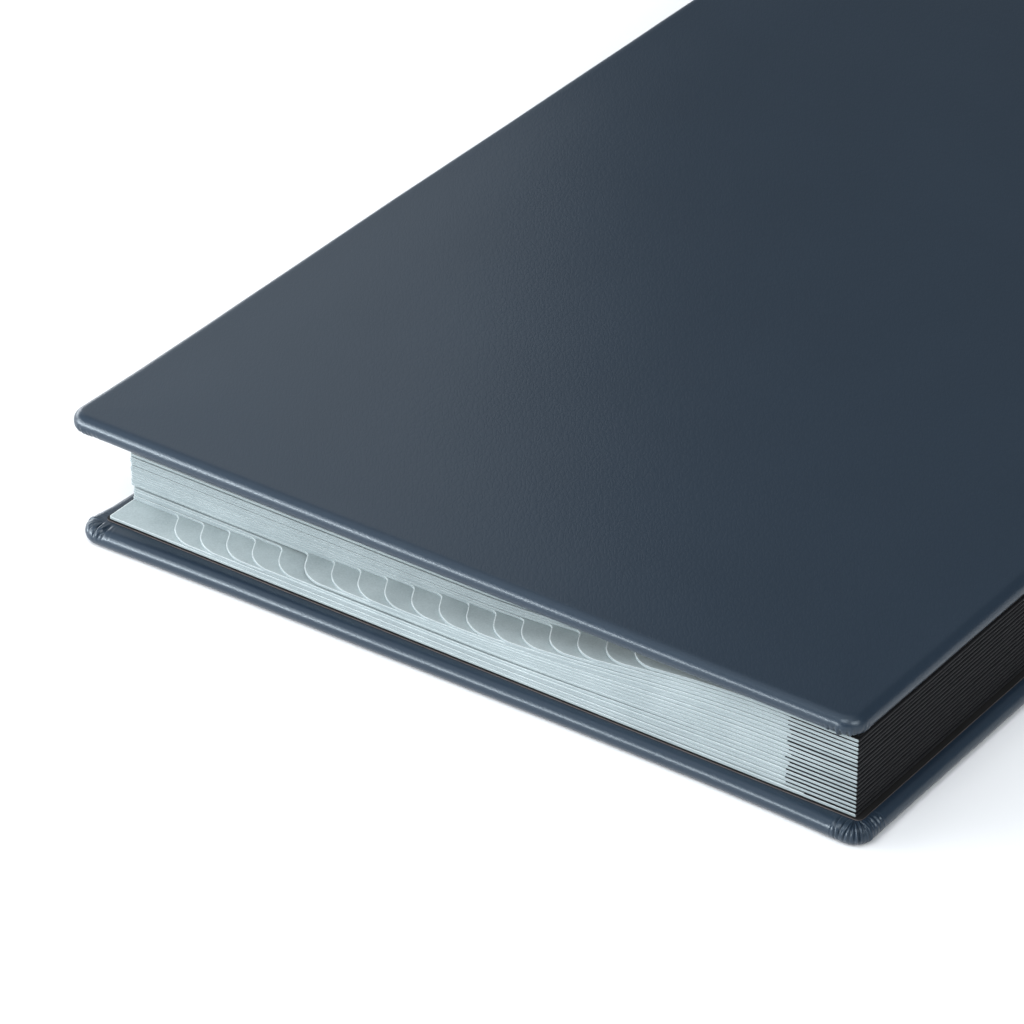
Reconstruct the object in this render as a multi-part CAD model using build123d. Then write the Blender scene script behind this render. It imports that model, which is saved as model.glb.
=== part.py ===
from build123d import *
import math
import os

# A desk file bound as a concertina: two padded, leather-wrapped covers, a block of card leaves with
# stepped index tabs along the front edge, and black cloth folded over the spine end of every leaf.
#
# Millimetres. The origin is the centre of the back cover's lower face. +X points to the spine, +Y runs
# along the spine away from the tabbed edge, and +Z goes up through the closed file.

# Covers
cover_width = 240.0
cover_length = 350.0
cover_corner = 5.5  # radius of the corners, seen from above
leather = 0.7
foam = 1.7
board = 2.4
lining = 0.3
turn_in = 17.0  # how far the leather is folded over the inner face
lining_inset = 3.9  # bare leather margin round the lining
infill_clearance = 0.2  # between the infill card and the leather round it
front_cover_shift = -3.7  # the front cover lies this much nearer the fore edge
cover_tilt = 0.72  # degrees that the closed front cover rises towards the fore edge

# Leaves
leaf_count = 19
leaf_thickness = 0.68
leaf_margin_front = 4.6  # cover standing out past the leaves, at the front and back edges
leaf_margin_fore = 4.3
leaf_corner = 1.5
leaf_gap = 0.1  # between two leaves where the block lies flat
fore_clearance = 0.25  # under the first leaf

# Index tabs
tab_depth = 10.0
first_tab = 22.5  # from the cover's fore edge to the end of the first leaf's tab
tab_pitch = 8.48
tab_corner = 6.8
tab_fillet = 1.4

# Cloth spine
cloth = 0.15
spine_margin = 5.3  # cover standing out past the ridges of the closed spine
pleat_gap = 0.21  # between two ridges of the closed spine
pleat_depth = 20.0
first_pleat_depth = 14.8
pleat_overlap = 0.3  # cloth standing out past the leaves at the front and back edges
strip_depth = 19.0
cloth_clearance = 0.15

# The leaves sweep up from the flat block to the deeper spine over this length
sweep_start = 115.0  # from the cover's fore edge
sweep_steps = 6
pleat_run = 0.7  # level length of leaf before the cloth begins

# Main hinge
hinge_gap = 5.2  # between the two covers' spine edges when the file is open flat

# Sizes that follow
half_width = cover_width / 2
half_length = cover_length / 2
wrapped_thickness = leather + foam + board + leather
cover_thickness = wrapped_thickness + lining
pleat_radius = leaf_thickness / 2 + cloth
fore_pitch = leaf_thickness + leaf_gap
spine_pitch = 2 * pleat_radius + pleat_gap
ridge_x = half_width - spine_margin
fore_x = -half_width + leaf_margin_fore
leaf_length = cover_length - 2 * leaf_margin_front
cloth_length = leaf_length + 2 * pleat_overlap
sweep_from = -half_width + sweep_start
sweep_to = ridge_x - pleat_depth - pleat_run
first_spine_z = cover_thickness + cloth + cloth_clearance + pleat_radius
first_fore_z = cover_thickness + fore_clearance + leaf_thickness / 2
spine_block_top = first_spine_z + (leaf_count - 1) * spine_pitch + pleat_radius
tilt = math.radians(cover_tilt)
front_edge_x = half_width + front_cover_shift
ridge_under_z = spine_block_top + cloth_clearance + cloth
front_edge_z = ridge_under_z - (front_edge_x - ridge_x) * math.tan(tilt)
hinge_x = (half_width + front_edge_x + hinge_gap) / 2
under_at_hinge = ridge_under_z - (hinge_x - ridge_x) * math.tan(tilt)
hinge_z = (under_at_hinge * math.cos(tilt) + cover_thickness) / (1 + math.cos(tilt))
open_angle = 180 - cover_tilt


def rolled_slab(width, length, corner, thickness):
    """A flat slab whose long narrow sides are rolled to almost a half circle."""
    slab = extrude(RectangleRounded(width, length, corner), thickness)
    rims = slab.faces().sort_by(Axis.Z)
    roll = min(0.485 * thickness, 0.9 * corner)
    return fillet(rims[0].edges() + rims[-1].edges(), roll)


def cover_core():
    """The room inside the leather, filled by the foam below and the board above."""
    core = rolled_slab(
        cover_width - 2 * leather,
        cover_length - 2 * leather,
        cover_corner - leather,
        foam + board,
    )
    return Pos(0, 0, leather) * core


def cover_foam():
    below = Box(cover_width, cover_length, foam, align=(Align.CENTER, Align.CENTER, Align.MIN))
    return cover_core() & Pos(0, 0, leather) * below


def cover_board():
    above = Box(cover_width, cover_length, board, align=(Align.CENTER, Align.CENTER, Align.MIN))
    return cover_core() & Pos(0, 0, leather + foam) * above


def cover_leather():
    """One skin over the outer face, round the rolled sides and turned in over the inner face."""
    skin = rolled_slab(cover_width, cover_length, cover_corner, wrapped_thickness)
    window = extrude(
        Rectangle(cover_width - 2 * turn_in, cover_length - 2 * turn_in),
        leather,
    )
    return skin - cover_core() - Pos(0, 0, wrapped_thickness - leather) * window


def cover_infill():
    """Card that levels the inner face between the turned-in edges of the leather."""
    taken = 2 * (turn_in + infill_clearance)
    sheet = extrude(Rectangle(cover_width - taken, cover_length - taken), leather)
    return Pos(0, 0, wrapped_thickness - leather) * sheet


def cover_lining():
    sheet = extrude(
        Rectangle(cover_width - 2 * lining_inset, cover_length - 2 * lining_inset),
        lining,
    )
    return Pos(0, 0, wrapped_thickness) * sheet


def hinge_strip():
    """Cloth glued flat on a cover's lining, from the end ridge inwards."""
    sheet = extrude(Rectangle(strip_depth, cloth_length), cloth)
    return Pos(0, 0, cover_thickness) * sheet


def front_place(piece):
    """Turns a cover's piece over on to the block, with its spine edge down and its fore edge raised."""
    turned = Pos(-half_width, 0, cover_thickness) * Rot(0, 180, 0) * piece
    return Pos(front_edge_x, 0, front_edge_z) * Rot(0, cover_tilt, 0) * turned


def spine_z(leaf):
    return first_spine_z + (leaf - 1) * spine_pitch


def fore_z(leaf):
    return first_fore_z + (leaf - 1) * fore_pitch


def leaf_line(leaf):
    """Points along the middle of a leaf's thickness, from the fore edge to the spine."""
    low = fore_z(leaf)
    high = spine_z(leaf)
    line = [(fore_x, low)]
    for step in range(sweep_steps + 1):
        part = step / sweep_steps
        rise = (1 - math.cos(math.pi * part)) / 2
        line.append((sweep_from + part * (sweep_to - sweep_from), low + rise * (high - low)))
    line.append((ridge_x - pleat_radius, high))
    return line


def rounded_end(height, radius):
    """The half circle that a leaf or its cloth makes at the ridge, from below to above."""
    middle = ridge_x - pleat_radius
    return ThreePointArc(
        (middle, height - radius),
        (middle + radius, height),
        (middle, height + radius),
    )


def leaf_outline(leaf):
    """A leaf seen from above; every leaf but the first is cut back as far as its own tab."""
    front = -leaf_length / 2
    back = leaf_length / 2
    right = half_width
    if leaf == 1:
        corners = [(fore_x, front), (right, front), (right, back), (fore_x, back)]
        outline = make_face(Polyline(*corners, close=True))
        return fillet(outline.vertices().group_by(Axis.X)[0], leaf_corner)
    tab_x = -half_width + first_tab + (leaf - 2) * tab_pitch
    cut = front + tab_depth
    corners = [
        (fore_x, cut),
        (tab_x, cut),
        (tab_x, front),
        (right, front),
        (right, back),
        (fore_x, back),
    ]
    outline = make_face(Polyline(*corners, close=True))
    outline = fillet(outline.vertices().group_by(Axis.X)[0], leaf_corner)
    inner = outline.vertices().sort_by_distance((tab_x, cut, 0))[0]
    outline = fillet(inner, min(tab_fillet, 0.45 * tab_pitch))
    outer = outline.vertices().sort_by_distance((tab_x, front, 0))[0]
    return fillet(outer, min(tab_corner, 0.8 * tab_depth))


def leaf_card(leaf):
    half = leaf_thickness / 2
    line = leaf_line(leaf)
    under = [(x, z - half) for x, z in line]
    over = [(x, z + half) for x, z in line]
    section = Polyline(*under)
    section += rounded_end(spine_z(leaf), half)
    section += Polyline(*reversed(over))
    section += Line(over[0], under[0])
    bent = extrude(Plane.XZ * make_face(section), leaf_length / 2 + 1, both=True)
    height = spine_block_top + cover_thickness
    return bent & extrude(leaf_outline(leaf), height)


def spine_pleat(leaf):
    """Cloth glued over the spine end of one leaf and along both its faces."""
    half = leaf_thickness / 2
    depth = first_pleat_depth if leaf == 1 else pleat_depth
    inner_x = ridge_x - depth
    end_x = ridge_x - pleat_radius
    z = spine_z(leaf)
    section = Line((inner_x, z - pleat_radius), (end_x, z - pleat_radius))
    section += rounded_end(z, pleat_radius)
    section += Line((end_x, z + pleat_radius), (inner_x, z + pleat_radius))
    section += Line((inner_x, z + pleat_radius), (inner_x, z + half))
    section += Line((inner_x, z + half), (end_x, z + half))
    section += rounded_end(z, half)
    section += Line((end_x, z - half), (inner_x, z - half))
    section += Line((inner_x, z - half), (inner_x, z - pleat_radius))
    return extrude(Plane.XZ * make_face(section), cloth_length / 2, both=True)


cover_pieces = {
    "leather": cover_leather(),
    "foam": cover_foam(),
    "board": cover_board(),
    "infill": cover_infill(),
    "lining": cover_lining(),
}
nodes = {}
for name, piece in cover_pieces.items():
    nodes[f"back_cover_{name}"] = piece
    nodes[f"front_cover_{name}"] = front_place(piece)

strip_x = ridge_x - strip_depth / 2
nodes["back_hinge_strip"] = Pos(strip_x, 0, 0) * hinge_strip()
nodes["front_hinge_strip"] = front_place(Pos(-strip_x + front_cover_shift, 0, 0) * hinge_strip())

for leaf in range(1, leaf_count + 1):
    nodes[f"leaf_{leaf:02d}"] = leaf_card(leaf)
    nodes[f"spine_pleat_{leaf:02d}"] = spine_pleat(leaf)

os.makedirs("parts", exist_ok=True)
for name, shape in nodes.items():
    export_step(shape, f"parts/{name}.step")

print(f"hinge axis at x {hinge_x:.3f}, z {hinge_z:.3f}, opens to {open_angle:.2f} degrees")
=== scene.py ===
import math
import random

import bmesh
import bpy
import numpy as np
from mathutils import Matrix, Vector, noise


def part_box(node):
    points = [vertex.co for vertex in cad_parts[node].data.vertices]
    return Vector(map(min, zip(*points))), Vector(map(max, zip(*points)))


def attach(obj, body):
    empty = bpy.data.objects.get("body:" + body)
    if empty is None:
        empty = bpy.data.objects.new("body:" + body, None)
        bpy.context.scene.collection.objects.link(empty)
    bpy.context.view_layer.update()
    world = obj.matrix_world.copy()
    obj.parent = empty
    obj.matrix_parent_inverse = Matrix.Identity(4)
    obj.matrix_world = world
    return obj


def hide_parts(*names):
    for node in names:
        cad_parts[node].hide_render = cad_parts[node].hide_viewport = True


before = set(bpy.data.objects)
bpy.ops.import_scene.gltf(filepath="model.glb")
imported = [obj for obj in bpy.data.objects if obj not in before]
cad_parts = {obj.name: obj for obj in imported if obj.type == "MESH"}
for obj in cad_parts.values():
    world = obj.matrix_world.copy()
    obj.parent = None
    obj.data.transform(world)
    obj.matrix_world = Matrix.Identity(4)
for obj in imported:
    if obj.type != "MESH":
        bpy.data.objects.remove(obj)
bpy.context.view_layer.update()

MM = 0.001

# ---------------------------------------------------------------------------------------------------------
# Sizes, in metres. Where the pieces lie, and how large they are, is read from the frame.

tiny = 0.01 * MM
merge_gap = 0.002 * MM

# Covers
back_low, back_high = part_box("back_cover_leather")
cover_width = back_high.x - back_low.x
cover_length = back_high.y - back_low.y
skin_height = back_high.z - back_low.z
roll = skin_height / 2
cover_corner = 5.5 * MM
corner_bend = 4.6 * MM
leather = 0.7 * MM
cover_tilt = math.radians(0.72)
front_crown = 0.28 * MM
crown_reach = 30 * MM
leather_swell = 0.07 * MM

# Folds in the leather at the corners. A fold begins at low and is full at high, in shares of the cover's
# height. Widths, and steps from fold to fold, are ranges in millimetres. Further in from the edge than
# pressed_from, a fold stands no higher than pressed_fold.
fold_depth = 0.50 * MM
pressed_from = 2.6 * MM
pressed_fold = 0.12 * MM
deep_folds = {"low": 0.12, "high": 0.55, "reach": 9.5 * MM, "width": (0.15, 0.26), "step": (0.75, 1.5)}
soft_folds = {"low": 0.42, "high": 0.78, "reach": 8.5 * MM, "width": (0.20, 0.32), "step": (1.2, 2.1)}
deep_corners = {"back": [(1, -1), (-1, 1)], "front": []}

# Linings
lining_corner = 1.6 * MM
lining_trim = 0.25 * MM

# Card leaves
leaf_names = sorted(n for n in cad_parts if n.startswith("leaf_"))
leaf_count = len(leaf_names)
card = 0.625 * MM
tab_depth = 10.0 * MM
first_tab = 22.5 * MM
tab_pitch = 8.48 * MM
tab_corner = 6.2 * MM
tab_slant = 5.2 * MM
tab_lead = 2.3 * MM
tab_fillet = 1.4 * MM
leaf_corner = 0.9 * MM
# Width of the pale band along each leaf's top edges, a painted highlight.
highlight_band_width = 0.30 * MM
soft_edge = 0.06 * MM
spine_end_round = 0.30 * MM
loose_swell = 0.12 * MM
pressed_swell = 0.045 * MM
leaf_wave = 0.03 * MM
first_cut_back = 0.60 * MM
lower_cut_back = 0.45 * MM
lower_leaves = 6
wide_strip = 14 * MM
narrow_strip = 5 * MM
cross_strips = 12
sweep_from = back_low.x + 115.0 * MM
sweep_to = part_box("spine_pleat_02")[0].x - 0.7 * MM

# Cloth of the spine
cloth = 0.13 * MM
cloth_trim = 0.36 * MM
ridge_points = 20
cloth_rows = 72

# How the bound block lies between the covers
spine_shift = 0.5 * MM
shift_over = 110 * MM
first_drop = 0.13 * MM
block_y = -0.2 * MM
out_of_square = 0.0096


# ---------------------------------------------------------------------------------------------------------
# Hand tools

def pick_none():
    bpy.ops.object.select_all(action="DESELECT")


def pick(obj):
    pick_none()
    obj.select_set(True)
    bpy.context.view_layer.objects.active = obj


def start(name):
    """Names the primitive that was just added and opens it for editing."""
    obj = bpy.context.object
    obj.name = name
    obj.data.name = name
    bpy.ops.object.transform_apply(location=True, rotation=True, scale=True)
    bpy.ops.object.mode_set(mode="EDIT")
    return obj


def choose(obj, kind, wanted):
    """Selects the wanted vertices of the open mesh, or the edges whose two ends are wanted."""
    bpy.ops.mesh.select_mode(type=kind)
    bpy.ops.mesh.select_all(action="DESELECT")
    mesh = bmesh.from_edit_mesh(obj.data)
    for part in mesh.verts if kind == "VERT" else mesh.edges:
        ends = [part] if kind == "VERT" else part.verts
        if all(wanted(v.co) for v in ends):
            part.select = True
    mesh.select_flush_mode()
    bmesh.update_edit_mesh(obj.data)


def extrude(x=0.0, y=0.0):
    bpy.ops.mesh.extrude_region_move(TRANSFORM_OT_translate={"value": (x, y, 0.0)})


def close():
    bpy.ops.object.mode_set(mode="OBJECT")


def cut_across(place, normal):
    """Cuts the whole open mesh along a plane, and leaves it in one piece."""
    bpy.ops.mesh.select_all(action="SELECT")
    bpy.ops.mesh.bisect(plane_co=place, plane_no=normal)


def apply_all(obj):
    pick(obj)
    for modifier in list(obj.modifiers):
        bpy.ops.object.modifier_apply(modifier=modifier.name)


def face_outwards(obj):
    pick(obj)
    bpy.ops.object.mode_set(mode="EDIT")
    bpy.ops.mesh.select_all(action="SELECT")
    bpy.ops.mesh.remove_doubles(threshold=merge_gap)
    bpy.ops.mesh.normals_make_consistent(inside=False)
    close()


def thicken(obj, thickness, offset, rim=0):
    """Gives a sheet its thickness. The finish of its cut edges lies rim places further down the list."""
    wall = obj.modifiers.new("wall", "SOLIDIFY")
    wall.thickness = thickness
    wall.offset = offset
    wall.material_offset_rim = rim
    apply_all(obj)


def smooth(obj, angle):
    pick(obj)
    bpy.ops.object.shade_smooth_by_angle(angle=math.radians(angle))


def points_of(obj):
    co = np.zeros(len(obj.data.vertices) * 3)
    obj.data.vertices.foreach_get("co", co)
    return co.reshape(-1, 3)


def normals_of(obj):
    normals = np.zeros(len(obj.data.vertices) * 3)
    obj.data.vertices.foreach_get("normal", normals)
    return normals.reshape(-1, 3)


def put_points(obj, co):
    obj.data.vertices.foreach_set("co", co.ravel())
    obj.data.update()


def ramp(value, low, high):
    """0 below low, 1 above high, and smooth in between."""
    t = np.clip((value - low) / (high - low), 0, 1)
    return t * t * (3 - 2 * t)


def set_in_block(co):
    """The bound block sits a little towards the spine, and was trimmed slightly out of square."""
    co[:, 1] += block_y - out_of_square * co[:, 0]
    co[:, 0] += spine_shift * ramp(co[:, 0], 0, shift_over)


def drift(values, length, seed):
    """Slow, even-tempered wandering along a line, between about -1 and 1."""
    found = [noise.noise(Vector((v / length, seed * 7.31, seed * 1.7))) for v in values]
    return 1.6 * np.array(found)


# ---------------------------------------------------------------------------------------------------------
# Leather covers

# Close, even steps beside each corner, where the folds run out, then wider and wider ones.
near_steps = [0.19 * MM] * 26 + [0.35 * MM, 0.6 * MM, 1.1 * MM, 1.8 * MM, 3.0 * MM]
far_step = 6.0 * MM


def side_steps(half):
    """Steps along half a side, from the end of its corner to the middle."""
    left = half - cover_corner - sum(near_steps)
    count = round(left / far_step)
    return near_steps + [left / count] * count


def cover_skin():
    """A cover's skin: one quarter is spun round its corner and drawn out both ways, then mirrored."""
    corner_x = cover_width / 2 - cover_corner
    corner_y = -cover_length / 2 + cover_corner
    edge_y = -cover_length / 2 + roll
    top = skin_height - tiny
    pick_none()
    bpy.ops.mesh.primitive_circle_add(
        vertices=32,
        radius=roll,
        location=(corner_x, edge_y, roll),
        rotation=(0, math.pi / 2, 0),
    )
    obj = start("cover_skin")
    choose(obj, "VERT", lambda p: p.y > edge_y + tiny)
    bpy.ops.mesh.delete(type="VERT")
    flat = cover_corner - roll
    for height in (0.0, skin_height):
        choose(obj, "VERT", lambda p: abs(p.z - height) < tiny)
        for _ in range(3):
            bpy.ops.mesh.extrude_vertices_move(TRANSFORM_OT_translate={"value": (0, flat / 3, 0)})
    bpy.ops.mesh.select_all(action="SELECT")
    bpy.ops.mesh.spin(
        steps=64, angle=-math.pi / 2, center=(corner_x, corner_y, 0), axis=(0, 0, 1)
    )
    bpy.ops.mesh.select_all(action="SELECT")
    bpy.ops.mesh.remove_doubles(threshold=merge_gap)
    along_y = side_steps(cover_length / 2)
    along_x = side_steps(cover_width / 2)
    choose(obj, "EDGE", lambda p: p.y > corner_y - tiny)
    for step in along_y:
        extrude(y=step)
    choose(obj, "EDGE", lambda p: p.x < corner_x + tiny and p.y < corner_y + tiny)
    for step in along_x:
        extrude(x=-step)
    # The outer face runs to the middle, and the inner one only as far as the leather is turned in, which
    # is a corner and the near steps.
    choose(obj, "EDGE", lambda p: p.x < corner_x + tiny and abs(p.y - corner_y) < tiny and p.z < tiny)
    for step in along_y:
        extrude(y=step)
    choose(obj, "EDGE", lambda p: p.x < corner_x + tiny and abs(p.y - corner_y) < tiny and p.z > top)
    for step in near_steps:
        extrude(y=step)
    window_y = corner_y + sum(near_steps) - tiny
    choose(obj, "EDGE", lambda p: abs(p.x - corner_x) < tiny and p.y > window_y and p.z > top)
    for step in near_steps:
        extrude(x=-step)
    close()
    mirror = obj.modifiers.new("mirror", "MIRROR")
    mirror.use_axis = (True, True, False)
    mirror.merge_threshold = tiny
    apply_all(obj)
    face_outwards(obj)
    return obj


def corner_places(co, side_x, side_y):
    """For each point: how far along the outline from a corner's middle, and how far in from the edge."""
    u = side_x * co[:, 0] - (cover_width / 2 - cover_corner)
    v = side_y * co[:, 1] - (cover_length / 2 - cover_corner)
    quarter = corner_bend * math.pi / 4
    turned = corner_bend * (np.arctan2(np.maximum(v, 0), np.maximum(u, 1e-9)) - math.pi / 4)
    along = np.where((u > 0) & (v > 0), turned, 0)
    along = np.where((u > 0) & (v <= 0), -quarter + v, along)
    along = np.where((u <= 0) & (v > 0), quarter - u, along)
    along = np.where((u <= 0) & (v <= 0), np.where(v > u, quarter - u, -quarter + v), along)
    outwards = np.where((u > 0) & (v > 0), np.hypot(u, v), np.maximum(u, v))
    return along, cover_corner - outwards


def fold_shape(run, width, side):
    """One crease: a sharp valley with a soft puff of leather standing beside it."""
    valley = np.exp(-((run / width) ** 2))
    puff = np.exp(-(((run - side * 2.3 * width) / (1.5 * width)) ** 2))
    return 0.55 * puff - valley


def corner_folds(co, side_x, side_y, folds, dice):
    """How far the folds of one corner lift or sink each point, in shares of fold_depth."""
    along, inwards = corner_places(co, side_x, side_y)
    level = co[:, 2] / skin_height
    settle = 1 - ramp(inwards, 3.0 * MM, 5.4 * MM)
    pole = ramp(cover_corner - inwards, 0.3 * MM, 2.2 * MM)
    pole = np.where(inwards > cover_corner, 1, pole)
    reach = folds["reach"]
    lift = np.zeros(len(co))
    place = -reach + dice.uniform(0, 0.8) * MM
    while place < reach:
        width = dice.uniform(*folds["width"]) * MM
        strength = dice.uniform(0.45, 1.0)
        side = dice.choice((-1, 1))
        lean = dice.uniform(-0.25, 0.25)
        bow = dice.uniform(-0.14, 0.14)
        sink = dice.uniform(-0.10, 0.16)
        height = ramp(level, folds["low"] + sink, folds["high"] + sink)
        fade = 1 - ramp(abs(place), 0.45 * reach, 1.1 * reach)
        run = along - place - lean * inwards - bow * (co[:, 2] - roll)
        lift += strength * fade * fold_shape(run, width, side) * height
        place += dice.uniform(*folds["step"]) * MM
    return lift * settle * pole


def gather_corners(obj, side, seed):
    """The folds where the leather is eased round each corner and pressed down on the inner face."""
    dice = random.Random(seed)
    co = points_of(obj)
    out = normals_of(obj)
    lift = np.zeros(len(co))
    for side_x in (-1, 1):
        for side_y in (-1, 1):
            folds = deep_folds if (side_x, side_y) in deep_corners[side] else soft_folds
            lift += fold_depth * corner_folds(co, side_x, side_y, folds, dice)
    lift = np.where(inwards_of_skin(co) > pressed_from, np.minimum(lift, pressed_fold), lift)
    put_points(obj, co + out * lift[:, None])


def inwards_of_skin(co):
    """How far in from the cover's outline each point is."""
    return np.minimum(cover_width / 2 - np.abs(co[:, 0]), cover_length / 2 - np.abs(co[:, 1]))


def uneven_leather(obj, seed, crown):
    """Slow swells of the padded face and rolled sides, and the fuller middle that padding gives."""
    co = points_of(obj)
    out = normals_of(obj)
    across, upwards = 34, 60
    swell = [noise.noise(Vector((p[0] * across, p[1] * across, seed + p[2] * upwards))) for p in co]
    outer = ramp(skin_height - co[:, 2], 0.55 * skin_height, skin_height)
    lift = crown * ramp(inwards_of_skin(co), 0, crown_reach) * outer
    lift += leather_swell * np.array(swell) * np.where(crown > 0, 1, ramp(co[:, 2], 0, roll))
    put_points(obj, co + out * lift[:, None])


def sway_edges(obj, front_sway, left_sway):
    """The hand-turned front and left edges wander a little."""
    co = points_of(obj)
    low = co.min(0)
    for axis, other, sway in ((1, 0, front_sway), (0, 1, left_sway)):
        places, stands = np.array(sway).T * MM
        near = 1 - ramp(co[:, axis] - low[axis], 3 * MM, 26 * MM)
        reach = 0.75 + 0.25 * ramp(co[:, other] - low[other], 0, 6 * MM)
        co[:, axis] -= near * reach * np.interp(co[:, other], places, stands)
    put_points(obj, co)


def turn_over(obj, plain_piece):
    """Carries a piece that was modelled like the back cover's to its place in the front cover."""
    obj.data.transform(Matrix.Rotation(cover_tilt, 4, "Y") @ Matrix.Rotation(math.pi, 4, "Y"))
    co = points_of(obj)
    low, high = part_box(plain_piece)
    co += np.array((low + high) / 2) - (co.min(0) + co.max(0)) / 2
    put_points(obj, co)


def finish_cover_piece(obj, side, part, finish):
    """Puts a piece in the place of the frame's plain one, so that it turns with its cover."""
    if side == "front":
        turn_over(obj, f"front_cover_{part}")
    obj.name = f"{side}_{part}_piece"
    obj.data.materials.clear()
    obj.data.materials.append(finish)
    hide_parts(f"{side}_cover_{part}")
    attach(obj, f"{side}_cover")


# How far each edge stands out of line, in millimetres, at places along it.
back_front_edge = [
    (-121, 1.0), (-112, 0.7), (-94, 0.3), (-75, 0), (-37, -0.13), (0, -0.35), (28, -0.45),
    (56, -0.25), (75, 0), (94, 0.6), (106, 1.15), (113, 1.55), (121, 1.7),
]
back_left_edge = [(-176, 1.3), (-170, 1.1), (-163, 0), (-152, -0.5), (-100, -0.3), (-60, 0), (176, 0)]
front_front_edge = [(-124, 0), (121, 0)]
front_left_edge = [
    (-176, 0.1), (-165, -0.1), (-145, -0.55), (-112, -0.6), (-86, -0.5), (-61, -0.38),
    (-35, -0.3), (-9, -0.45), (17, -0.6), (176, -0.6),
]
edge_sways = {"back": (back_front_edge, back_left_edge), "front": (front_front_edge, front_left_edge)}


def make_covers(finish):
    """The leather of both covers, padded by the felt and boards inside."""
    back = cover_skin()
    front = back.copy()
    front.data = back.data.copy()
    bpy.context.scene.collection.objects.link(front)
    for obj, side, seed, crown in ((back, "back", 3, 0.0), (front, "front", 8, front_crown)):
        gather_corners(obj, side, seed)
        uneven_leather(obj, seed, crown)
        thicken(obj, leather, -1)
        finish_cover_piece(obj, side, "leather", finish)
        sway_edges(obj, *edge_sways[side])
        smooth(obj, 60)


def make_linings(finish, edge_finish):
    """Dark paper pasted inside each cover, with its brown cut edge showing."""
    low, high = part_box("back_cover_lining")
    for side in ("back", "front"):
        pick_none()
        bpy.ops.mesh.primitive_plane_add(size=1, location=(low + high) / 2)
        bpy.context.object.scale = (high.x - low.x, high.y - low.y, 1)
        obj = start("lining")
        bpy.ops.mesh.select_all(action="SELECT")
        bpy.ops.mesh.bevel(offset=lining_corner, segments=8, affect="VERTICES")
        close()
        obj.data.materials.append(finish)
        obj.data.materials.append(edge_finish)
        thicken(obj, high.z - low.z, 0, rim=1)
        rims = [face.material_index for face in obj.data.polygons]
        if side == "back":
            co = points_of(obj)
            co[:, 1] *= 1 - lining_trim / high.y
            set_in_block(co)
            put_points(obj, co)
        finish_cover_piece(obj, side, "lining", finish)
        obj.data.materials.append(edge_finish)
        obj.data.polygons.foreach_set("material_index", rims)


# ---------------------------------------------------------------------------------------------------------
# Card leaves

# Gaps that stand wider than the rest: which one, counted from 0 at the lowest, and how much wider.
wide_gaps = ((5, 3.0), (17, 1.6), (15, 0.9), (14, 0.5), (11, 0.4), (2, 0.3))


def card_heights():
    """Height of the middle of each leaf where the block lies flat, with the loose gaps a used block has."""
    dice = random.Random(11)
    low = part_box(leaf_names[0])[0].z
    pitch = (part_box(leaf_names[-1])[0].z - low) / (leaf_count - 1)
    room = (leaf_count - 1) * (pitch - card)
    gaps = [dice.uniform(0.1, 0.8) ** 2 for _ in range(leaf_count - 1)]
    for place, extra in wide_gaps:
        gaps[place] += extra
    share = room / sum(gaps)
    heights = [low + card / 2]
    for gap in gaps:
        heights.append(heights[-1] + card + gap * share)
    return heights


def leaf_blank(number, cut_back, finishes):
    """One flat leaf, open for editing, with its tab step, rounded corners and a pale band along its edges
    that is a painted highlight.
    """
    low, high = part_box(leaf_names[number - 1])
    left, right, front, back = low.x + cut_back, high.x, low.y, high.y
    step_x = left if number == 1 else back_low.x + first_tab + (number - 2) * tab_pitch - tab_lead
    pick_none()
    bpy.ops.mesh.primitive_plane_add(
        size=1, location=((step_x + right) / 2, (front + back) / 2, 0)
    )
    bpy.context.object.scale = (right - step_x, back - front, 1)
    obj = start(f"card_{number:02d}")
    cut = front + tab_depth
    rounds = [(left, back, leaf_corner)]
    if number == 1:
        rounds.append((left, front, leaf_corner))
    else:
        cut_across((0, cut, 0), (0, 1, 0))
        choose(obj, "EDGE", lambda p: abs(p.x - step_x) < tiny and p.y > cut - tiny)
        extrude(x=left - step_x)
        bpy.ops.mesh.select_all(action="SELECT")
        bpy.ops.mesh.dissolve_faces()
        choose(obj, "VERT", lambda p: abs(p.x - step_x) < tiny and abs(p.y - front) < tiny)
        bpy.ops.transform.translate(value=(tab_slant, 0, 0))
        rounds += [
            (left, cut, leaf_corner),
            (step_x, cut, tab_fillet),
            (step_x + tab_slant, front, tab_corner),
        ]
    for x, y, radius in rounds:
        choose(obj, "VERT", lambda p: abs(p.x - x) < tiny and abs(p.y - y) < tiny)
        bpy.ops.mesh.bevel(offset=radius, segments=10, affect="VERTICES")
    for layer in finishes:
        obj.data.materials.append(layer)
    bpy.ops.mesh.select_mode(type="FACE")
    bpy.ops.mesh.select_all(action="SELECT")
    # A pale band inset round the top face takes the second finish: a painted highlight where the cut edge
    # catches the light.
    bpy.ops.mesh.inset(thickness=highlight_band_width, depth=0)
    bpy.ops.mesh.select_all(action="INVERT")
    obj.active_material_index = 1
    bpy.ops.object.material_slot_assign()
    return obj


def score_leaf(low, high):
    """Cuts the open leaf into strips, so that it can bend: narrow ones where it nears the spine."""
    x = low.x + 12 * MM
    while x < high.x - 3 * MM:
        cut_across((x, 0, 0), (1, 0, 0))
        sweeps = sweep_from - 6 * MM < x < sweep_to + 6 * MM
        x += narrow_strip if sweeps else wide_strip
    for part in range(1, cross_strips):
        cut_across((0, low.y + (high.y - low.y) * part / cross_strips, 0), (0, 1, 0))


def rise_along(x):
    """How far a leaf has risen from its flat height to its height at the spine, from 0 to 1."""
    part = np.clip((x - sweep_from) / (sweep_to - sweep_from), 0, 1)
    return (1 - np.cos(math.pi * part)) / 2


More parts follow.
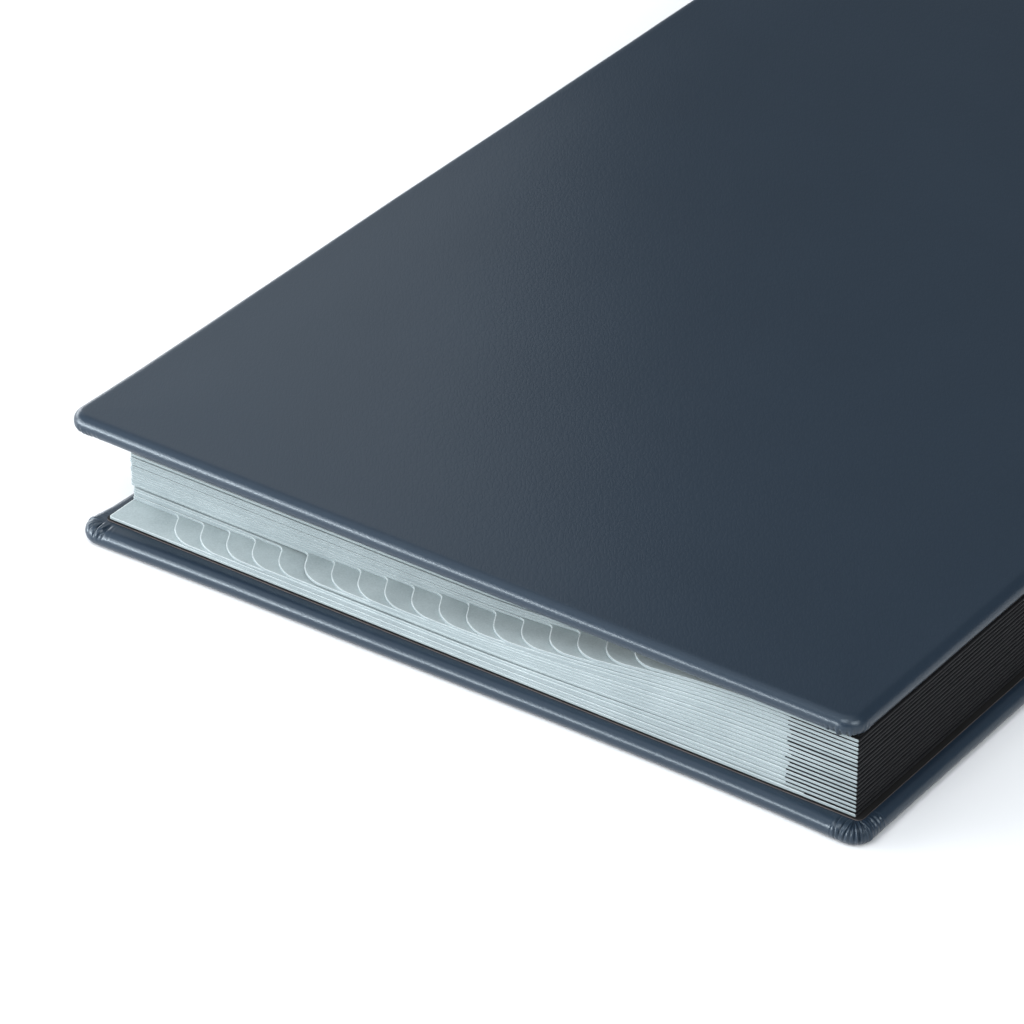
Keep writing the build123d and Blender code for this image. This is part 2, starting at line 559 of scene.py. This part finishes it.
def swell_towards_spine(obj, middle_height):
    """The card is loose and full where the block fans out, and pressed again under the cloth."""
    co = points_of(obj)
    side = co[:, 2] - middle_height(co)
    side = np.where(np.abs(side) > card / 4, np.sign(side), 0)
    under_cloth = ramp(co[:, 0], sweep_to + 0.2 * MM, sweep_to + 1.4 * MM)
    loose = rise_along(co[:, 0]) * (1 - under_cloth)
    co[:, 2] += side * (loose_swell * loose + pressed_swell * under_cloth)
    put_points(obj, co)


def round_spine_end(obj, end_x):
    """Rounds the end that lies in the fold of the cloth."""
    pick(obj)
    bpy.ops.object.mode_set(mode="EDIT")
    choose(obj, "EDGE", lambda p: p.x > end_x - tiny)
    bpy.ops.mesh.bevel(offset=spine_end_round, segments=4)
    close()


def soften_edges(obj):
    soften = obj.modifiers.new("soften", "BEVEL")
    soften.width = soft_edge
    soften.segments = 2
    soften.limit_method = "ANGLE"
    soften.angle_limit = math.radians(60)
    apply_all(obj)


def make_leaf(number, height, finishes):
    """One leaf, flat at the fore edge and swept up or down to the height of its fold at the spine."""
    dice = random.Random(100 + number)
    cut_back = dice.uniform(-0.12, 0.16) * MM
    if number == 1:
        cut_back += first_cut_back
    elif number <= lower_leaves:
        cut_back += lower_cut_back
    low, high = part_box(leaf_names[number - 1])
    obj = leaf_blank(number, cut_back, finishes)
    score_leaf(low, high)
    close()
    pleat_low, pleat_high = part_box(f"spine_pleat_{number:02d}")
    spine = (pleat_low.z + pleat_high.z) / 2 - (first_drop if number == 1 else 0)

    def middle_height(co):
        rise = rise_along(co[:, 0])
        wave = (1 - rise) * leaf_wave * drift(co[:, 0] + 2 * co[:, 1], 0.035, number)
        return height + rise * (spine - height) + wave

    co = points_of(obj)
    co[:, 2] = middle_height(co)
    co[:, 1] += dice.uniform(-0.15, 0.15) * MM
    set_in_block(co)
    put_points(obj, co)
    face_outwards(obj)
    # The cut edges take the third finish, the darker copy of the card colour that is painted shade.
    thicken(obj, card, 0, rim=2)
    swell_towards_spine(obj, middle_height)
    round_spine_end(obj, high.x + spine_shift)
    soften_edges(obj)
    smooth(obj, 50)
    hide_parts(leaf_names[number - 1])
    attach(obj, f"leaf_{number:02d}_turning")


# ---------------------------------------------------------------------------------------------------------
# Cloth spine

# Where the laps of a fold are creased: shares of a lap, the first next to the ridge.
lap_shares = (0.04, 0.12, 0.24, 0.3, 0.3)


def unsettle_pleat(co, number, low, high):
    """The ridge wanders a little and is pressed a little, and the glued laps were not cut straight."""
    middle = (low.z + high.z) / 2
    if number == 1:
        middle -= first_drop
        co[:, 2] -= first_drop
    at_ridge = ramp(co[:, 0], high.x - 3 * MM, high.x)
    co[:, 0] += at_ridge * 0.09 * MM * drift(co[:, 1], 0.035, number)
    at_end = 1 - ramp(co[:, 0], low.x, low.x + 6 * MM)
    co[:, 0] += at_end * 0.5 * MM * drift(co[:, 1], 0.02, number + 40)
    co[:, 2] += at_ridge * 0.035 * MM * drift(co[:, 1], 0.03, number + 80)
    co[:, 2] = middle + (co[:, 2] - middle) * (1 - 0.03 * at_ridge)


def make_pleat(number, finish):
    """Cloth folded round the spine end of one leaf, with a soft, slightly uneven ridge."""
    plain_piece = f"spine_pleat_{number:02d}"
    low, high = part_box(plain_piece)
    dice = random.Random(300 + number)
    outer = (high.z - low.z) / 2
    radius = outer - cloth / 2
    turn_x = high.x - outer
    depth = turn_x - low.x
    length = high.y - low.y - 2 * cloth_trim
    pick_none()
    bpy.ops.mesh.primitive_circle_add(
        vertices=ridge_points,
        radius=radius,
        location=(turn_x, low.y + cloth_trim, low.z + outer),
        rotation=(math.pi / 2, 0, 0),
    )
    obj = start(f"pleat_cloth_{number:02d}")
    choose(obj, "VERT", lambda p: p.x < turn_x - tiny)
    bpy.ops.mesh.delete(type="VERT")
    for side in (-1, 1):
        lap = depth + dice.uniform(-0.7, 0.5) * MM
        edge = low.z + outer + side * radius
        choose(obj, "VERT", lambda p: abs(p.z - edge) < tiny)
        for share in lap_shares:
            bpy.ops.mesh.extrude_vertices_move(
                TRANSFORM_OT_translate={"value": (-lap * share, 0, 0)}
            )
    close()
    run = obj.modifiers.new("run", "SCREW")
    run.axis = "Y"
    run.angle = 0
    run.screw_offset = length
    run.steps = cloth_rows
    run.render_steps = cloth_rows
    run.use_smooth_shade = True
    apply_all(obj)
    co = points_of(obj)
    unsettle_pleat(co, number, low, high)
    set_in_block(co)
    put_points(obj, co)
    face_outwards(obj)
    thicken(obj, cloth, 0)
    smooth(obj, 60)
    obj.data.materials.clear()
    obj.data.materials.append(finish)
    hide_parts(plain_piece)
    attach(obj, f"leaf_{number:02d}_turning")


# ---------------------------------------------------------------------------------------------------------
# Finishes

def new_finish(name):
    finish = bpy.data.materials.new(name)
    finish.use_nodes = True
    nodes = finish.node_tree.nodes
    return finish, nodes, finish.node_tree.links, nodes["Principled BSDF"]


def node(nodes, kind, inputs=None, **settings):
    """Adds one shader node, and sets its inputs and its own settings."""
    made = nodes.new(kind)
    for key, value in settings.items():
        setattr(made, key, value)
    for key, value in (inputs or {}).items():
        made.inputs[key].default_value = value
    return made


def group(name, sockets_in, sockets_out):
    """A node group with named sockets and nothing in it yet: its tree, nodes, links and two ends."""
    tree = bpy.data.node_groups.new(name, "ShaderNodeTree")
    for label, kind, value in sockets_in:
        socket = tree.interface.new_socket(name=label, in_out="INPUT", socket_type=kind)
        socket.default_value = value
    for label, kind in sockets_out:
        tree.interface.new_socket(name=label, in_out="OUTPUT", socket_type=kind)
    begin = tree.nodes.new("NodeGroupInput")
    end = tree.nodes.new("NodeGroupOutput")
    return tree, tree.nodes, tree.links, begin, end


def place_group(nodes, tree, **values):
    made = nodes.new("ShaderNodeGroup")
    made.node_tree = tree
    for key, value in values.items():
        made.inputs[key.replace("_", " ")].default_value = value
    return made


def fibre_group():
    """Soft mottling and fine fibres, for card, paper, board and felt: a colour and a height."""
    tree, nodes, links, begin, end = group(
        "fibres",
        [
            ("Light", "NodeSocketColor", (1, 1, 1, 1)),
            ("Dark", "NodeSocketColor", (0.8, 0.8, 0.8, 1)),
            ("Cloud Scale", "NodeSocketFloat", 60.0),
            ("Fibre Scale", "NodeSocketFloat", 2200.0),
        ],
        [("Color", "NodeSocketColor"), ("Height", "NodeSocketFloat")],
    )
    place = node(nodes, "ShaderNodeTexCoord")
    cloud = node(nodes, "ShaderNodeTexNoise", {"Detail": 4.0, "Roughness": 0.6})
    fibre = node(nodes, "ShaderNodeTexNoise", {"Detail": 3.0, "Roughness": 0.7})
    both = node(nodes, "ShaderNodeMix", {0: 0.45}, data_type="FLOAT")
    spread = node(
        nodes,
        "ShaderNodeMapRange",
        {"From Min": 0.35, "From Max": 0.65, "To Min": 0.0, "To Max": 1.0},
    )
    blend = node(nodes, "ShaderNodeMix", data_type="RGBA")
    links.new(place.outputs["Object"], cloud.inputs["Vector"])
    links.new(place.outputs["Object"], fibre.inputs["Vector"])
    links.new(begin.outputs["Cloud Scale"], cloud.inputs["Scale"])
    links.new(begin.outputs["Fibre Scale"], fibre.inputs["Scale"])
    links.new(cloud.outputs["Fac"], both.inputs[2])
    links.new(fibre.outputs["Fac"], both.inputs[3])
    links.new(both.outputs[0], spread.inputs["Value"])
    links.new(spread.outputs["Result"], blend.inputs[0])
    links.new(begin.outputs["Dark"], blend.inputs[6])
    links.new(begin.outputs["Light"], blend.inputs[7])
    links.new(blend.outputs[2], end.inputs["Color"])
    links.new(fibre.outputs["Fac"], end.inputs["Height"])
    return tree


def paper_like(name, fibres, light, dark, roughness, bump, cloud=60.0, fibre=2200.0):
    """A dull finish of pressed fibres. Card, paper, board and felt differ only in its values."""
    finish, nodes, links, shader = new_finish(name)
    texture = place_group(
        nodes, fibres, Light=light, Dark=dark, Cloud_Scale=cloud, Fibre_Scale=fibre
    )
    raised = node(nodes, "ShaderNodeBump", {"Strength": bump, "Distance": 0.05 * MM})
    shader.inputs["Roughness"].default_value = roughness
    shader.inputs["Specular IOR Level"].default_value = 0.3
    links.new(texture.outputs["Color"], shader.inputs["Base Color"])
    links.new(texture.outputs["Height"], raised.inputs["Height"])
    links.new(raised.outputs["Normal"], shader.inputs["Normal"])
    return finish


def cover_leather_finish():
    """Slate-navy leather: small drawn-out pebbles between fine creases, over a faint cloudiness, with
    painted shade darkening the creases.
    """
    finish, nodes, links, shader = new_finish("slate_navy_leather")
    place = node(nodes, "ShaderNodeTexCoord")
    turn = node(nodes, "ShaderNodeVectorRotate", {"Angle": math.radians(55)}, rotation_type="Z_AXIS")
    stretch = node(nodes, "ShaderNodeMapping")
    stretch.inputs["Scale"].default_value = (0.36, 1.0, 1.0)
    wander = node(nodes, "ShaderNodeTexNoise", {"Scale": 420.0, "Detail": 3.0, "Roughness": 0.55})
    centred = node(nodes, "ShaderNodeVectorMath", {1: (0.5, 0.5, 0.5)}, operation="SUBTRACT")
    scaled = node(nodes, "ShaderNodeVectorMath", {3: 1.6 * MM}, operation="SCALE")
    bent = node(nodes, "ShaderNodeVectorMath", operation="ADD")
    pebbles = node(nodes, "ShaderNodeTexVoronoi", {"Scale": 880.0}, feature="DISTANCE_TO_EDGE")
    pebble_top = node(
        nodes,
        "ShaderNodeMapRange",
        {"From Min": 0.0, "From Max": 0.22},
        interpolation_type="SMOOTHSTEP",
    )
    pores = node(nodes, "ShaderNodeTexNoise", {"Scale": 2600.0, "Detail": 3.0, "Roughness": 0.6})
    swell = node(nodes, "ShaderNodeTexNoise", {"Scale": 190.0, "Detail": 3.0, "Roughness": 0.5})
    add_pores = node(nodes, "ShaderNodeMath", {1: 0.8}, operation="MULTIPLY_ADD")
    add_swell = node(nodes, "ShaderNodeMath", {1: 0.8}, operation="MULTIPLY_ADD")
    raised = node(nodes, "ShaderNodeBump", {"Strength": 0.16, "Distance": 0.06 * MM})
    cloud = node(nodes, "ShaderNodeTexNoise", {"Scale": 22.0, "Detail": 4.0, "Roughness": 0.55})
    tone = node(nodes, "ShaderNodeMix", data_type="RGBA")
    tone.inputs[6].default_value = (0.0124, 0.0218, 0.0355, 1)
    tone.inputs[7].default_value = (0.0153, 0.0262, 0.0420, 1)
    # The base colour is multiplied darker along the pebble edges: painted shade in the creases.
    crease_shade = node(nodes, "ShaderNodeMix", data_type="RGBA", blend_type="MULTIPLY")
    crease_shade.inputs[7].default_value = (0.95, 0.955, 0.96, 1)
    crease_shade_mask = node(
        nodes,
        "ShaderNodeMapRange",
        {"From Min": 0.0, "From Max": 0.16, "To Min": 1.0, "To Max": 0.0},
    )
    gloss = node(nodes, "ShaderNodeMapRange", {"To Min": 0.25, "To Max": 0.38})
    links.new(place.outputs["Object"], turn.inputs["Vector"])
    links.new(turn.outputs["Vector"], stretch.inputs["Vector"])
    links.new(stretch.outputs["Vector"], wander.inputs["Vector"])
    links.new(wander.outputs["Color"], centred.inputs[0])
    links.new(centred.outputs[0], scaled.inputs[0])
    links.new(stretch.outputs["Vector"], bent.inputs[0])
    links.new(scaled.outputs[0], bent.inputs[1])
    links.new(bent.outputs[0], pebbles.inputs["Vector"])
    links.new(pebbles.outputs["Distance"], pebble_top.inputs["Value"])
    links.new(place.outputs["Object"], pores.inputs["Vector"])
    links.new(stretch.outputs["Vector"], swell.inputs["Vector"])
    links.new(pores.outputs["Fac"], add_pores.inputs[0])
    links.new(pebble_top.outputs["Result"], add_pores.inputs[2])
    links.new(swell.outputs["Fac"], add_swell.inputs[0])
    links.new(add_pores.outputs[0], add_swell.inputs[2])
    links.new(add_swell.outputs[0], raised.inputs["Height"])
    links.new(place.outputs["Object"], cloud.inputs["Vector"])
    links.new(cloud.outputs["Fac"], tone.inputs[0])
    links.new(tone.outputs[2], crease_shade.inputs[6])
    links.new(pebbles.outputs["Distance"], crease_shade_mask.inputs["Value"])
    links.new(crease_shade_mask.outputs["Result"], crease_shade.inputs[0])
    links.new(crease_shade.outputs[2], shader.inputs["Base Color"])
    links.new(pores.outputs["Fac"], gloss.inputs["Value"])
    links.new(gloss.outputs["Result"], shader.inputs["Roughness"])
    links.new(raised.outputs["Normal"], shader.inputs["Normal"])
    shader.inputs["Specular IOR Level"].default_value = 0.50
    shader.inputs["Specular Tint"].default_value = (0.84, 0.94, 1.0, 1)
    shader.inputs["Sheen Weight"].default_value = 0.05
    shader.inputs["Sheen Roughness"].default_value = 0.3
    return finish


def book_cloth_finish():
    """Black book cloth: a close plain weave, matt, with a painted highlight on the tops of its threads."""
    finish, nodes, links, shader = new_finish("black_book_cloth")
    place = node(nodes, "ShaderNodeTexCoord")
    thread = {"Scale": 900.0, "Distortion": 1.2, "Detail": 2.0, "Detail Scale": 0.6}
    warp = node(nodes, "ShaderNodeTexWave", thread, bands_direction="Y")
    weft = node(nodes, "ShaderNodeTexWave", thread, bands_direction="DIAGONAL")
    weave = node(nodes, "ShaderNodeMath", operation="MULTIPLY")
    lint = node(nodes, "ShaderNodeTexNoise", {"Scale": 900.0, "Detail": 4.0, "Roughness": 0.7})
    thread_height_and_highlight = node(nodes, "ShaderNodeMath", {1: 0.5}, operation="MULTIPLY_ADD")
    tone = node(nodes, "ShaderNodeMix", data_type="RGBA")
    tone.inputs[6].default_value = (0.0010, 0.0010, 0.0014, 1)
    tone.inputs[7].default_value = (0.0072, 0.0068, 0.0085, 1)
    raised = node(nodes, "ShaderNodeBump", {"Strength": 0.5, "Distance": 0.05 * MM})
    links.new(place.outputs["Object"], warp.inputs["Vector"])
    links.new(place.outputs["Object"], weft.inputs["Vector"])
    links.new(warp.outputs["Fac"], weave.inputs[0])
    links.new(weft.outputs["Fac"], weave.inputs[1])
    links.new(place.outputs["Object"], lint.inputs["Vector"])
    links.new(lint.outputs["Fac"], thread_height_and_highlight.inputs[0])
    links.new(weave.outputs[0], thread_height_and_highlight.inputs[2])
    # The colour follows the thread height: paler on the tops as a painted highlight, darker between threads
    # as painted shade.
    links.new(thread_height_and_highlight.outputs[0], tone.inputs[0])
    links.new(thread_height_and_highlight.outputs[0], raised.inputs["Height"])
    links.new(tone.outputs[2], shader.inputs["Base Color"])
    links.new(raised.outputs["Normal"], shader.inputs["Normal"])
    shader.inputs["Roughness"].default_value = 0.58
    shader.inputs["Specular IOR Level"].default_value = 0.24
    shader.inputs["Sheen Weight"].default_value = 0.04
    return finish


def finish_plain_pieces(fibres, cloth_finish):
    """Boards, levelling cards, padding and hinge strips keep their plain shapes, and get their finish."""
    finishes = {
        "board": paper_like(
            "grey_board", fibres, (0.36, 0.34, 0.31, 1), (0.24, 0.23, 0.21, 1), 0.9, 0.6, cloud=200.0
        ),
        "infill": paper_like(
            "infill_card", fibres, (0.60, 0.57, 0.52, 1), (0.50, 0.48, 0.44, 1), 0.9, 0.3
        ),
        "foam": paper_like(
            "padding_felt",
            fibres,
            (0.52, 0.52, 0.50, 1),
            (0.36, 0.36, 0.35, 1),
            0.95,
            1.0,
            cloud=400.0,
            fibre=900.0,
        ),
        "strip": cloth_finish,
    }
    for name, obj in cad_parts.items():
        finish = finishes.get(name.split("_")[-1])
        if finish and not obj.hide_render:
            obj.data.materials.clear()
            obj.data.materials.append(finish)


# ---------------------------------------------------------------------------------------------------------
# Room, lights and camera

def make_floor():
    pick_none()
    bpy.ops.mesh.primitive_plane_add(size=14, location=(0, 0, 0))
    floor = bpy.context.object
    floor.name = "floor"
    finish, _, _, shader = new_finish("pale_floor")
    shader.inputs["Base Color"].default_value = (0.92, 0.92, 0.925, 1)
    shader.inputs["Roughness"].default_value = 0.9
    shader.inputs["Specular IOR Level"].default_value = 0.0
    floor.data.materials.append(finish)


def soft_light(name, place, aim, width, height, power):
    data = bpy.data.lights.new(name, "AREA")
    data.shape = "RECTANGLE"
    data.size = width
    data.size_y = height
    data.energy = power
    data.color = (0.95, 0.975, 1.0)
    lamp = bpy.data.objects.new(name, data)
    bpy.context.scene.collection.objects.link(lamp)
    lamp.location = place
    away = Vector(place) - Vector(aim)
    lamp.rotation_euler = away.to_track_quat("Z", "Y").to_euler()


def soft_box(name, azimuth, elevation, width, height, power, distance=2.0):
    """A soft light aimed at the file. Azimuth is from straight in front, positive to the right."""
    turn, lift = math.radians(azimuth), math.radians(elevation)
    place = Vector((math.sin(turn) * math.cos(lift), -math.cos(turn) * math.cos(lift), math.sin(lift)))
    soft_light(name, place * distance, (0, 0, 0), width, height, power)


def make_lights():
    world = bpy.data.worlds.new("studio")
    bpy.context.scene.world = world
    world.use_nodes = True
    background = world.node_tree.nodes["Background"]
    background.inputs["Color"].default_value = (0.80, 0.91, 1.0, 1)
    background.inputs["Strength"].default_value = 0.20
    soft_box("overhead", -35, 74, width=2.2, height=2.2, power=12, distance=1.8)
    soft_box("left_low", -103, 12, width=1.6, height=0.6, power=22)
    soft_box("front_low", -48, 12, width=0.6, height=0.35, power=5.0, distance=0.85)
    soft_box("front_strip", -35, 6.5, width=1.6, height=0.08, power=30)
    soft_box("front_high", 5, 50, width=1.0, height=1.0, power=15)
    soft_box("right_key", 62, 34, width=1.0, height=1.0, power=20)
    sheen_from, sheen_to = (-0.44, 0.167, 0.355), (-0.15, -0.24, 0.04)
    soft_light("sheen", sheen_from, sheen_to, width=0.38, height=0.38, power=0.30)
    bpy.context.scene.view_settings.view_transform = "Standard"


def make_camera():
    """Seen from the right front, a little above, through a long lens."""
    data = bpy.data.cameras.new("camera")
    camera = bpy.data.objects.new("camera", data)
    bpy.context.scene.collection.objects.link(camera)
    pitch = 0.5595
    yaw = -0.61495
    ahead = Vector((math.sin(yaw) * math.cos(pitch), math.cos(yaw) * math.cos(pitch), -math.sin(pitch)))
    camera.location = (0.6789, -1.1124, 0.7771)
    camera.rotation_euler = (-ahead).to_track_quat("Z", "Y").to_euler()
    data.sensor_width = 36
    data.lens = 196.56
    data.clip_start = 0.05
    data.clip_end = 30
    bpy.context.scene.camera = camera


# ---------------------------------------------------------------------------------------------------------
# The desk file, from its covers inwards

fibres = fibre_group()
leather_finish = cover_leather_finish()
cloth_finish = book_cloth_finish()
card_finish = paper_like(
    "pale_leaf_card", fibres, (0.455, 0.520, 0.528, 1), (0.310, 0.364, 0.375, 1), 0.78, 0.15
)
# The cut edges get a darker copy of the card colour: painted shade that tones down the light falling on
# them.
card_edge_shade = paper_like(
    "cut_card_edge_painted_shade", fibres, (0.270, 0.315, 0.326, 1), (0.212, 0.254, 0.265, 1), 0.85, 0.15
)
# A paler copy of the card colour for that band: painted highlight along the leaves' top edges.
card_highlight_band = paper_like(
    "card_edge_painted_highlight", fibres, (0.64, 0.70, 0.708, 1), (0.50, 0.555, 0.562, 1), 0.85, 0.15
)
lining_finish = paper_like(
    "black_lining_paper", fibres, (0.012, 0.011, 0.011, 1), (0.006, 0.006, 0.006, 1), 0.8, 0.2
)
lining_edge = paper_like(
    "brown_lining_edge", fibres, (0.095, 0.080, 0.077, 1), (0.050, 0.042, 0.040, 1), 0.9, 0.2, 300.0
)
make_covers(leather_finish)
make_linings(lining_finish, lining_edge)
for number, height in enumerate(card_heights(), 1):
    make_leaf(number, height, (card_finish, card_highlight_band, card_edge_shade))
    make_pleat(number, cloth_finish)
finish_plain_pieces(fibres, cloth_finish)
make_floor()
make_lights()
make_camera()
